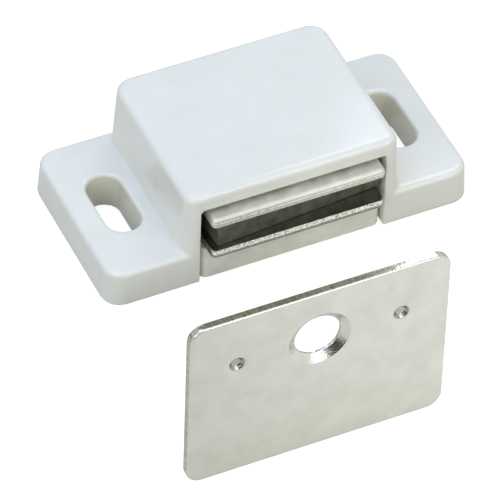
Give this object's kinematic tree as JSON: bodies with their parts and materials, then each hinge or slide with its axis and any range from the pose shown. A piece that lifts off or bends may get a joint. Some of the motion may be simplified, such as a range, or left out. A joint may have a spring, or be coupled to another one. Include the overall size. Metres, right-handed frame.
{
  "type": "magnetic catch",
  "caption": "White cupboard door catch with slotted ears, a magnet between steel pole plates and a loose steel strike plate.",
  "frame": {"origin": "middle of the catch's mounting face, halfway between the two screw slots", "axes": "+X along the catch, to the right when its pole plates are faced, +Y from the pole plates towards the back, +Z away from the mounting face"},
  "size_m": [0.0506, 0.0521, 0.0249],
  "materials": {
    "white_moulding": "gloss",
    "carrier_moulding": "satin",
    "pole_steel": "plated, as punched",
    "ferrite": "ground sintered ferrite",
    "strike_steel": "satin plated"
  },
  "bodies": {
    "catch": {"housing": "white_moulding", "magnet_carrier": "carrier_moulding"},
    "magnet_pack": {"lower_pole_plate": "pole_steel", "magnet": "ferrite", "upper_pole_plate": "pole_steel"},
    "strike": {"strike_plate": "strike_steel"}
  },
  "joints": [
    {"name": "pack_float", "type": "slide", "parent": "catch", "child": "magnet_pack", "axis": [0, 1, 0], "range_m": [0, 0.0006]},
    {"name": "strike_approach", "type": "slide", "parent": "catch", "child": "strike", "axis": [0.375, 0.927, 0], "range_m": [0, 0.02826]}
  ]
}
